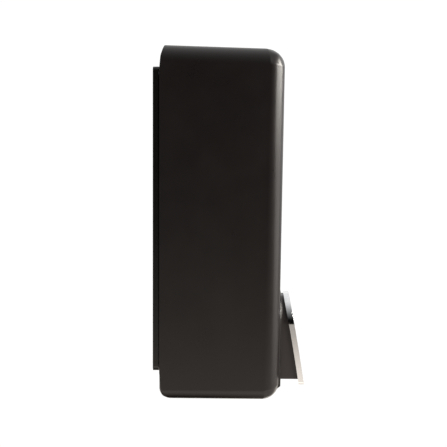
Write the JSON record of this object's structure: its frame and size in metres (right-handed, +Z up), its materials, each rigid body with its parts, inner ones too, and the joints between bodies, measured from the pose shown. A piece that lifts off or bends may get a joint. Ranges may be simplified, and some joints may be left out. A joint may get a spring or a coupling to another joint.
{
  "type": "wall mounted soap dispenser",
  "caption": "Lever operated liquid soap dispenser for a wall, with a drop-front locking cover, a refillable reservoir and a push-up pump.",
  "frame": {"origin": "middle of the four wall screw holes, on the wall face of the back plate", "axes": "+Z up, +Y into the wall, so the front faces -Y, X across the width"},
  "size_m": [0.114, 0.125, 0.294],
  "materials": {
    "cover_black": "fine satin moulded surface",
    "plate_black": "satin moulded surface",
    "yoke_black": "satin moulded surface",
    "press_plate": "polished, faint vertical brushing",
    "bright_steel": "zinc plated, fine grain",
    "spring_steel": "drawn wire",
    "lock_metal": "satin nickel",
    "tank_clear": "translucent, soft gloss",
    "lens_clear": "smoky clear",
    "grey_plastic": "moulded, satin",
    "white_plastic": "moulded, satin",
    "soft_rubber": "dull"
  },
  "bodies": {
    "wall_unit": {"back_plate": "plate_black", "latch_keeper": "bright_steel", "keeper_screws": "bright_steel", "reservoir_bracket": "bright_steel", "bracket_screws": "bright_steel", "hinge_pins": "bright_steel", "reservoir": "tank_clear", "outlet_washer": "soft_rubber", "pump_nut": "grey_plastic", "pump_body": "white_plastic", "inlet_valve": "soft_rubber", "pump_spring": "spring_steel", "lid_hinge_pin": "bright_steel"},
    "lid": {"reservoir_lid": "grey_plastic", "lid_seal": "soft_rubber"},
    "cover": {"cover": "cover_black", "window_lens": "lens_clear", "lock_housing": "lock_metal", "lock_nut": "lock_metal", "lever_pin": "bright_steel", "pin_clips": "bright_steel"},
    "lock": {"lock_plug": "lock_metal", "lock_cam": "bright_steel", "cam_screw": "bright_steel"},
    "lever": {"lever_yoke": "yoke_black", "lever_plate": "press_plate", "lever_screws": "bright_steel", "lever_bushes": "white_plastic"},
    "piston": {"pump_piston": "white_plastic", "piston_seal": "soft_rubber", "lift_collar": "grey_plastic", "nozzle": "grey_plastic", "nozzle_valve": "soft_rubber"}
  },
  "joints": [
    {"name": "cover_hinge", "type": "hinge", "parent": "wall_unit", "child": "cover", "pos_m": [0, -0.012, -0.138], "axis": [1, 0, 0], "range_deg": [0, 90]},
    {"name": "lever_press", "type": "hinge", "parent": "cover", "child": "lever", "pos_m": [0, -0.095, -0.0703], "axis": [1, 0, 0], "range_deg": [0, 12], "stiffness_Nm_per_rad": 0.8, "springref_deg": -6.88},
    {"name": "piston_slide", "type": "slide", "parent": "wall_unit", "child": "piston", "axis": [0, 0, 1], "range_m": [0, 0.0076], "deforming": ["pump_spring"]},
    {"name": "lock_turn", "type": "hinge", "parent": "cover", "child": "lock", "pos_m": [0, -0.034, 0.13], "axis": [0, 0, -1], "range_deg": [0, 90]},
    {"name": "lid_flip", "type": "hinge", "parent": "wall_unit", "child": "lid", "pos_m": [0, -0.049, 0.0965], "axis": [-1, 0, 0], "range_deg": [0, 75]}
  ],
  "couplings": [
    {"joint": "piston_slide", "follows": "lever_press", "m_per_rad": 0.035}
  ]
}
